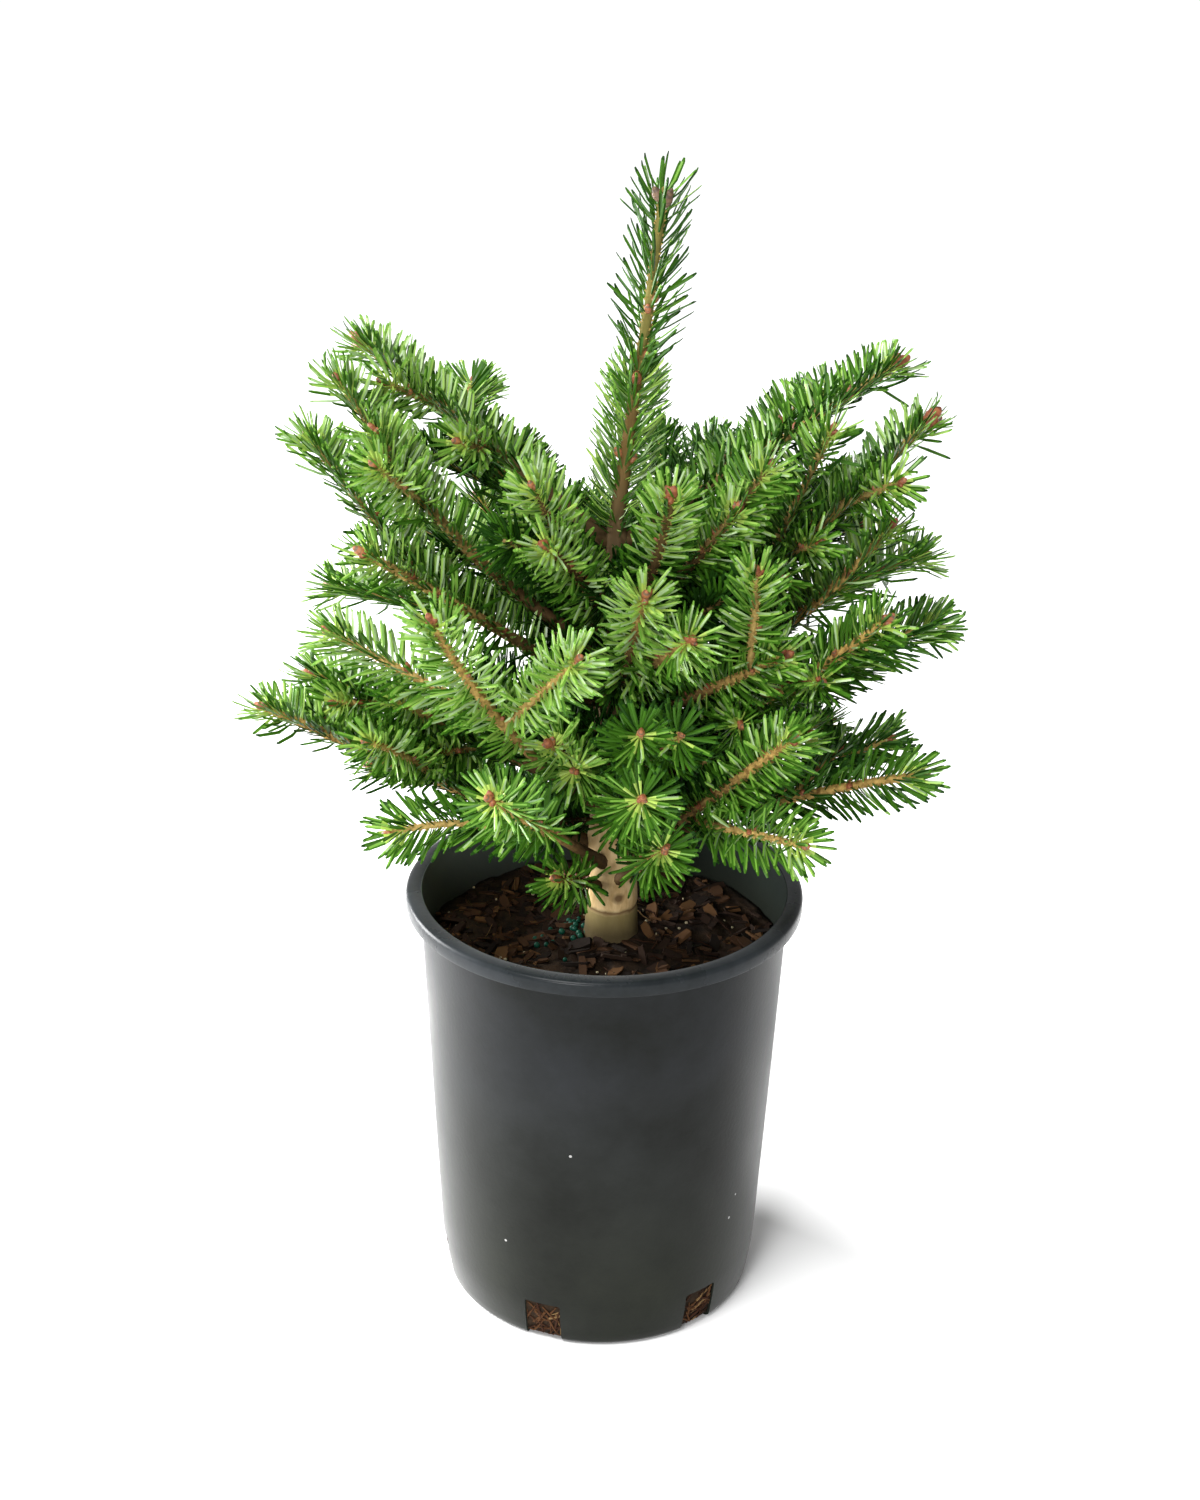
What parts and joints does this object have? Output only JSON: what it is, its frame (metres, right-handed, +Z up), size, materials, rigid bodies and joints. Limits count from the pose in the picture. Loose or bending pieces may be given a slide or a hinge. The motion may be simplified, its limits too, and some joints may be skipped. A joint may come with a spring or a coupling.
{
  "type": "potted nordmann fir",
  "caption": "Young Nordmann fir with an upright leader and tiered boughs of needles, in a round black nursery pot.",
  "frame": {"origin": "centre of the pot's flat underside", "axes": "+Z up along the pot's axis, -Y toward the front of the tree, +X to the right seen from the front"},
  "size_m": [0.3917, 0.3122, 0.6518],
  "materials": {
    "pot": "matt charcoal black moulded plastic, a little scuffed",
    "soil": "dark moist mix of composted bark and fibre",
    "bark": "smooth tan young bark",
    "foliage": "waxy green needles"
  },
  "bodies": {
    "root": {"pot": "pot", "soil": "soil", "trunk": "bark", "bough_back_left_high": "bark", "bough_back_left_low": "bark", "bough_back_left_mid": "bark", "bough_back_mid": "bark", "bough_back_right_high": "bark", "bough_back_right_low": "bark", "bough_back_right_mid": "bark", "bough_front_left_low": "bark", "bough_front_right_high": "bark", "bough_left_back_low": "bark", "bough_left_front": "bark", "bough_left_high": "bark", "bough_left_low": "bark", "bough_left_mid": "bark", "bough_right_front_low": "bark", "bough_right_high": "bark", "bough_right_low": "bark", "bough_right_mid": "bark", "bough_right_upper": "bark", "bough_upper_left": "bark", "bough_upper_right": "bark", "foliage_back_high": "foliage", "foliage_back_left_high": "foliage", "foliage_back_left_low": "foliage", "foliage_back_left_mid": "foliage", "foliage_back_low": "foliage", "foliage_back_mid": "foliage", "foliage_back_right_high": "foliage", "foliage_back_right_low": "foliage", "foliage_back_right_mid": "foliage", "foliage_front_foot": "foliage", "foliage_front_fork": "foliage", "foliage_front_high": "foliage", "foliage_front_left_foot": "foliage", "foliage_front_left_high": "foliage", "foliage_front_left_low": "foliage", "foliage_front_mid": "foliage", "foliage_front_right_high": "foliage", "foliage_front_right_mid": "foliage", "foliage_front_right_top": "foliage", "foliage_leader_lower": "foliage", "foliage_leader_upper": "foliage", "foliage_left_back_low": "foliage", "foliage_left_front": "foliage", "foliage_left_high": "foliage", "foliage_left_inner": "foliage", "foliage_left_low": "foliage", "foliage_left_mid": "foliage", "foliage_right_front": "foliage", "foliage_right_front_low": "foliage", "foliage_right_high": "foliage", "foliage_right_low": "foliage", "foliage_right_mid": "foliage", "foliage_right_upper": "foliage", "foliage_upper_left": "foliage", "foliage_upper_right": "foliage"}
  },
  "joints": []
}
